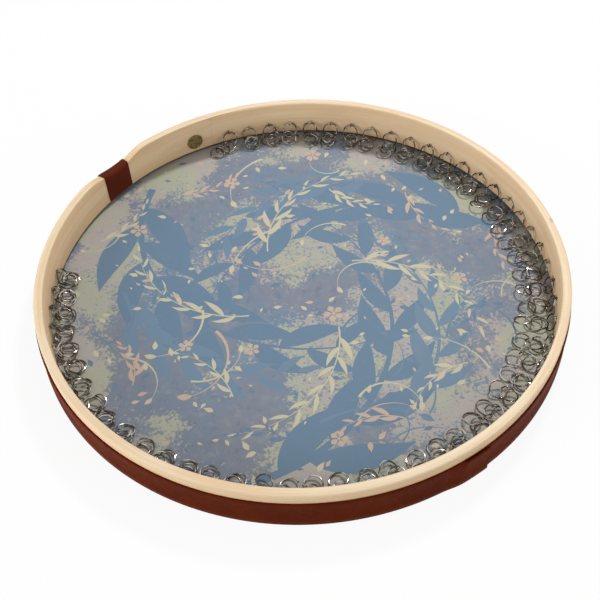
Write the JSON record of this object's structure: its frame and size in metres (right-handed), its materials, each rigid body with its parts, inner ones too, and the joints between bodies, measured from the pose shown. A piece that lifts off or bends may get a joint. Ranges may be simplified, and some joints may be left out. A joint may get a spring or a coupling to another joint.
{
  "type": "frame drum",
  "caption": "Shallow round frame drum with a bent-wood hoop, a printed film head, a leather-bound rim with a thumb notch, and chains of metal rings that swing inside it.",
  "frame": {"origin": "centre of the head's underside, on the surface that the drum lies on", "axes": "+Z along the drum's axis, from the head to the open back; +X to the right and +Y away from the camera as pictured"},
  "size_m": [0.5354, 0.5354, 0.0449],
  "materials": {
    "pale_maple": "satin lacquer",
    "printed_film": "printed satin film",
    "oxblood_leather": "smooth, lightly polished",
    "aged_brass": "dull, aged",
    "dark_nickel": "bright dark nickel plate"
  },
  "bodies": {
    "drum": {"wooden_hoop": "pale_maple", "drum_head": "printed_film", "leather_band": "oxblood_leather", "thumb_wrap": "oxblood_leather", "brass_badge": "aged_brass"},
    "chain_01": {"ring_chain_01": "dark_nickel"},
    "chain_02": {"ring_chain_02": "dark_nickel"},
    "chain_03": {"ring_chain_03": "dark_nickel"},
    "chain_04": {"ring_chain_04": "dark_nickel"},
    "chain_05": {"ring_chain_05": "dark_nickel"},
    "chain_06": {"ring_chain_06": "dark_nickel"},
    "chain_07": {"ring_chain_07": "dark_nickel"},
    "chain_08": {"ring_chain_08": "dark_nickel"},
    "chain_09": {"ring_chain_09": "dark_nickel"},
    "chain_10": {"ring_chain_10": "dark_nickel"},
    "chain_11": {"ring_chain_11": "dark_nickel"},
    "chain_12": {"ring_chain_12": "dark_nickel"},
    "chain_13": {"ring_chain_13": "dark_nickel"},
    "chain_14": {"ring_chain_14": "dark_nickel"},
    "chain_15": {"ring_chain_15": "dark_nickel"},
    "chain_16": {"ring_chain_16": "dark_nickel"},
    "chain_17": {"ring_chain_17": "dark_nickel"},
    "chain_18": {"ring_chain_18": "dark_nickel"},
    "chain_19": {"ring_chain_19": "dark_nickel"},
    "chain_20": {"ring_chain_20": "dark_nickel"},
    "chain_21": {"ring_chain_21": "dark_nickel"},
    "chain_22": {"ring_chain_22": "dark_nickel"},
    "chain_23": {"ring_chain_23": "dark_nickel"},
    "chain_24": {"ring_chain_24": "dark_nickel"},
    "chain_25": {"ring_chain_25": "dark_nickel"},
    "chain_26": {"ring_chain_26": "dark_nickel"},
    "chain_27": {"ring_chain_27": "dark_nickel"},
    "chain_28": {"ring_chain_28": "dark_nickel"},
    "chain_29": {"ring_chain_29": "dark_nickel"},
    "chain_30": {"ring_chain_30": "dark_nickel"},
    "chain_31": {"ring_chain_31": "dark_nickel"},
    "chain_32": {"ring_chain_32": "dark_nickel"},
    "chain_33": {"ring_chain_33": "dark_nickel"},
    "chain_34": {"ring_chain_34": "dark_nickel"},
    "chain_35": {"ring_chain_35": "dark_nickel"},
    "chain_36": {"ring_chain_36": "dark_nickel"},
    "chain_37": {"ring_chain_37": "dark_nickel"},
    "chain_38": {"ring_chain_38": "dark_nickel"},
    "chain_39": {"ring_chain_39": "dark_nickel"},
    "chain_40": {"ring_chain_40": "dark_nickel"},
    "chain_41": {"ring_chain_41": "dark_nickel"},
    "chain_42": {"ring_chain_42": "dark_nickel"},
    "chain_43": {"ring_chain_43": "dark_nickel"},
    "chain_44": {"ring_chain_44": "dark_nickel"},
    "chain_45": {"ring_chain_45": "dark_nickel"},
    "chain_46": {"ring_chain_46": "dark_nickel"},
    "chain_47": {"ring_chain_47": "dark_nickel"},
    "chain_48": {"ring_chain_48": "dark_nickel"},
    "chain_49": {"ring_chain_49": "dark_nickel"},
    "chain_50": {"ring_chain_50": "dark_nickel"},
    "chain_51": {"ring_chain_51": "dark_nickel"},
    "chain_52": {"ring_chain_52": "dark_nickel"},
    "chain_53": {"ring_chain_53": "dark_nickel"}
  },
  "joints": [
    {"name": "chain_01_swing", "type": "hinge", "parent": "drum", "child": "chain_01", "pos_m": [-0.07656, 0.24282, 0.01753], "axis": [-0.9537, -0.3007, 0], "range_deg": [0, 90]},
    {"name": "chain_02_swing", "type": "hinge", "parent": "drum", "child": "chain_02", "pos_m": [-0.05232, 0.24916, 0.01753], "axis": [-0.9787, -0.2055, 0], "range_deg": [0, 90]},
    {"name": "chain_03_swing", "type": "hinge", "parent": "drum", "child": "chain_03", "pos_m": [-0.02758, 0.2531, 0.01753], "axis": [-0.9941, -0.1083, 0], "range_deg": [0, 90]},
    {"name": "chain_04_swing", "type": "hinge", "parent": "drum", "child": "chain_04", "pos_m": [-0.00257, 0.25459, 0.01753], "axis": [-0.9999, -0.0101, 0], "range_deg": [0, 90]},
    {"name": "chain_05_swing", "type": "hinge", "parent": "drum", "child": "chain_05", "pos_m": [0.02246, 0.25361, 0.01753], "axis": [-0.9961, 0.0882, 0], "range_deg": [0, 90]},
    {"name": "chain_06_swing", "type": "hinge", "parent": "drum", "child": "chain_06", "pos_m": [0.04728, 0.25017, 0.01753], "axis": [-0.9826, 0.1857, 0], "range_deg": [0, 90]},
    {"name": "chain_07_swing", "type": "hinge", "parent": "drum", "child": "chain_07", "pos_m": [0.07164, 0.24431, 0.01753], "axis": [-0.9596, 0.2814, 0], "range_deg": [0, 90]},
    {"name": "chain_08_swing", "type": "hinge", "parent": "drum", "child": "chain_08", "pos_m": [0.0953, 0.23609, 0.01753], "axis": [-0.9273, 0.3743, 0], "range_deg": [0, 90]},
    {"name": "chain_09_swing", "type": "hinge", "parent": "drum", "child": "chain_09", "pos_m": [0.11805, 0.22558, 0.01753], "axis": [-0.886, 0.4637, 0], "range_deg": [0, 90]},
    {"name": "chain_10_swing", "type": "hinge", "parent": "drum", "child": "chain_10", "pos_m": [0.13964, 0.21289, 0.01753], "axis": [-0.8362, 0.5485, 0], "range_deg": [0, 90]},
    {"name": "chain_11_swing", "type": "hinge", "parent": "drum", "child": "chain_11", "pos_m": [0.15989, 0.19813, 0.01753], "axis": [-0.7782, 0.628, 0], "range_deg": [0, 90]},
    {"name": "chain_12_swing", "type": "hinge", "parent": "drum", "child": "chain_12", "pos_m": [0.17859, 0.18146, 0.01753], "axis": [-0.7127, 0.7015, 0], "range_deg": [0, 90]},
    {"name": "chain_13_swing", "type": "hinge", "parent": "drum", "child": "chain_13", "pos_m": [0.19556, 0.16302, 0.01753], "axis": [-0.6403, 0.7681, 0], "range_deg": [0, 90]},
    {"name": "chain_14_swing", "type": "hinge", "parent": "drum", "child": "chain_14", "pos_m": [0.21064, 0.14302, 0.01753], "axis": [-0.5617, 0.8273, 0], "range_deg": [0, 90]},
    {"name": "chain_15_swing", "type": "hinge", "parent": "drum", "child": "chain_15", "pos_m": [0.22367, 0.12162, 0.01753], "axis": [-0.4777, 0.8785, 0], "range_deg": [0, 90]},
    {"name": "chain_16_swing", "type": "hinge", "parent": "drum", "child": "chain_16", "pos_m": [0.23454, 0.09905, 0.01753], "axis": [-0.389, 0.9212, 0], "range_deg": [0, 90]},
    {"name": "chain_17_swing", "type": "hinge", "parent": "drum", "child": "chain_17", "pos_m": [0.24314, 0.07552, 0.01753], "axis": [-0.2966, 0.955, 0], "range_deg": [0, 90]},
    {"name": "chain_18_swing", "type": "hinge", "parent": "drum", "child": "chain_18", "pos_m": [0.24939, 0.05125, 0.01753], "axis": [-0.2013, 0.9795, 0], "range_deg": [0, 90]},
    {"name": "chain_19_swing", "type": "hinge", "parent": "drum", "child": "chain_19", "pos_m": [0.25322, 0.02649, 0.01753], "axis": [-0.1041, 0.9946, 0], "range_deg": [0, 90]},
    {"name": "chain_20_swing", "type": "hinge", "parent": "drum", "child": "chain_20", "pos_m": [0.2546, 0.00148, 0.01753], "axis": [-0.0058, 1, 0], "range_deg": [0, 90]},
    {"name": "chain_21_swing", "type": "hinge", "parent": "drum", "child": "chain_21", "pos_m": [0.25351, -0.02355, 0.01753], "axis": [0.0925, 0.9957, 0], "range_deg": [0, 90]},
    {"name": "chain_22_swing", "type": "hinge", "parent": "drum", "child": "chain_22", "pos_m": [0.24997, -0.04835, 0.01753], "axis": [0.1899, 0.9818, 0], "range_deg": [0, 90]},
    {"name": "chain_23_swing", "type": "hinge", "parent": "drum", "child": "chain_23", "pos_m": [0.244, -0.07269, 0.01753], "axis": [0.2855, 0.9584, 0], "range_deg": [0, 90]},
    {"name": "chain_24_swing", "type": "hinge", "parent": "drum", "child": "chain_24", "pos_m": [0.23568, -0.09632, 0.01753], "axis": [0.3783, 0.9257, 0], "range_deg": [0, 90]},
    {"name": "chain_25_swing", "type": "hinge", "parent": "drum", "child": "chain_25", "pos_m": [0.22507, -0.11901, 0.01753], "axis": [0.4675, 0.884, 0], "range_deg": [0, 90]},
    {"name": "chain_26_swing", "type": "hinge", "parent": "drum", "child": "chain_26", "pos_m": [0.21228, -0.14056, 0.01753], "axis": [0.5521, 0.8338, 0], "range_deg": [0, 90]},
    {"name": "chain_27_swing", "type": "hinge", "parent": "drum", "child": "chain_27", "pos_m": [0.19744, -0.16074, 0.01753], "axis": [0.6314, 0.7755, 0], "range_deg": [0, 90]},
    {"name": "chain_28_swing", "type": "hinge", "parent": "drum", "child": "chain_28", "pos_m": [0.18069, -0.17937, 0.01753], "axis": [0.7045, 0.7097, 0], "range_deg": [0, 90]},
    {"name": "chain_29_swing", "type": "hinge", "parent": "drum", "child": "chain_29", "pos_m": [0.16218, -0.19626, 0.01753], "axis": [0.7709, 0.637, 0], "range_deg": [0, 90]},
    {"name": "chain_30_swing", "type": "hinge", "parent": "drum", "child": "chain_30", "pos_m": [0.14211, -0.21125, 0.01753], "axis": [0.8297, 0.5582, 0], "range_deg": [0, 90]},
    {"name": "chain_31_swing", "type": "hinge", "parent": "drum", "child": "chain_31", "pos_m": [0.12066, -0.22419, 0.01753], "axis": [0.8806, 0.4739, 0], "range_deg": [0, 90]},
    {"name": "chain_32_swing", "type": "hinge", "parent": "drum", "child": "chain_32", "pos_m": [0.09804, -0.23497, 0.01753], "axis": [0.9229, 0.3851, 0], "range_deg": [0, 90]},
    {"name": "chain_33_swing", "type": "hinge", "parent": "drum", "child": "chain_33", "pos_m": [0.07447, -0.24346, 0.01753], "axis": [0.9563, 0.2925, 0], "range_deg": [0, 90]},
    {"name": "chain_34_swing", "type": "hinge", "parent": "drum", "child": "chain_34", "pos_m": [0.05018, -0.24961, 0.01753], "axis": [0.9804, 0.1971, 0], "range_deg": [0, 90]},
    {"name": "chain_35_swing", "type": "hinge", "parent": "drum", "child": "chain_35", "pos_m": [0.02541, -0.25333, 0.01753], "axis": [0.995, 0.0998, 0], "range_deg": [0, 90]},
    {"name": "chain_36_swing", "type": "hinge", "parent": "drum", "child": "chain_36", "pos_m": [0.00038, -0.2546, 0.01753], "axis": [1, 0.0015, 0], "range_deg": [0, 90]},
    {"name": "chain_37_swing", "type": "hinge", "parent": "drum", "child": "chain_37", "pos_m": [-0.02464, -0.2534, 0.01753], "axis": [0.9953, -0.0968, 0], "range_deg": [0, 90]},
    {"name": "chain_38_swing", "type": "hinge", "parent": "drum", "child": "chain_38", "pos_m": [-0.04943, -0.24976, 0.01753], "axis": [0.981, -0.1941, 0], "range_deg": [0, 90]},
    {"name": "chain_39_swing", "type": "hinge", "parent": "drum", "child": "chain_39", "pos_m": [-0.07373, -0.24369, 0.01753], "axis": [0.9571, -0.2896, 0], "range_deg": [0, 90]},
    {"name": "chain_40_swing", "type": "hinge", "parent": "drum", "child": "chain_40", "pos_m": [-0.09733, -0.23526, 0.01753], "axis": [0.924, -0.3823, 0], "range_deg": [0, 90]},
    {"name": "chain_41_swing", "type": "hinge", "parent": "drum", "child": "chain_41", "pos_m": [-0.11998, -0.22456, 0.01753], "axis": [0.882, -0.4712, 0], "range_deg": [0, 90]},
    {"name": "chain_42_swing", "type": "hinge", "parent": "drum", "child": "chain_42", "pos_m": [-0.14147, -0.21168, 0.01753], "axis": [0.8314, -0.5557, 0], "range_deg": [0, 90]},
    {"name": "chain_43_swing", "type": "hinge", "parent": "drum", "child": "chain_43", "pos_m": [-0.16159, -0.19675, 0.01753], "axis": [0.7728, -0.6347, 0], "range_deg": [0, 90]},
    {"name": "chain_44_swing", "type": "hinge", "parent": "drum", "child": "chain_44", "pos_m": [-0.18014, -0.17991, 0.01753], "axis": [0.7067, -0.7076, 0], "range_deg": [0, 90]},
    {"name": "chain_45_swing", "type": "hinge", "parent": "drum", "child": "chain_45", "pos_m": [-0.19695, -0.16134, 0.01753], "axis": [0.6337, -0.7736, 0], "range_deg": [0, 90]},
    {"name": "chain_46_swing", "type": "hinge", "parent": "drum", "child": "chain_46", "pos_m": [-0.21186, -0.1412, 0.01753], "axis": [0.5546, -0.8321, 0], "range_deg": [0, 90]},
    {"name": "chain_47_swing", "type": "hinge", "parent": "drum", "child": "chain_47", "pos_m": [-0.22471, -0.11969, 0.01753], "axis": [0.4701, -0.8826, 0], "range_deg": [0, 90]},
    {"name": "chain_48_swing", "type": "hinge", "parent": "drum", "child": "chain_48", "pos_m": [-0.23539, -0.09703, 0.01753], "axis": [0.3811, -0.9245, 0], "range_deg": [0, 90]},
    {"name": "chain_49_swing", "type": "hinge", "parent": "drum", "child": "chain_49", "pos_m": [-0.24378, -0.07342, 0.01753], "axis": [0.2884, -0.9575, 0], "range_deg": [0, 90]},
    {"name": "chain_50_swing", "type": "hinge", "parent": "drum", "child": "chain_50", "pos_m": [-0.24982, -0.04911, 0.01753], "axis": [0.1929, -0.9812, 0], "range_deg": [0, 90]},
    {"name": "chain_51_swing", "type": "hinge", "parent": "drum", "child": "chain_51", "pos_m": [-0.25344, -0.02432, 0.01753], "axis": [0.0955, -0.9954, 0], "range_deg": [0, 90]},
    {"name": "chain_52_swing", "type": "hinge", "parent": "drum", "child": "chain_52", "pos_m": [-0.2546, 0.00071, 0.01753], "axis": [-0.0028, -1, 0], "range_deg": [0, 90]},
    {"name": "chain_53_swing", "type": "hinge", "parent": "drum", "child": "chain_53", "pos_m": [-0.2533, 0.02573, 0.01753], "axis": [-0.1011, -0.9949, 0], "range_deg": [0, 90]}
  ]
}
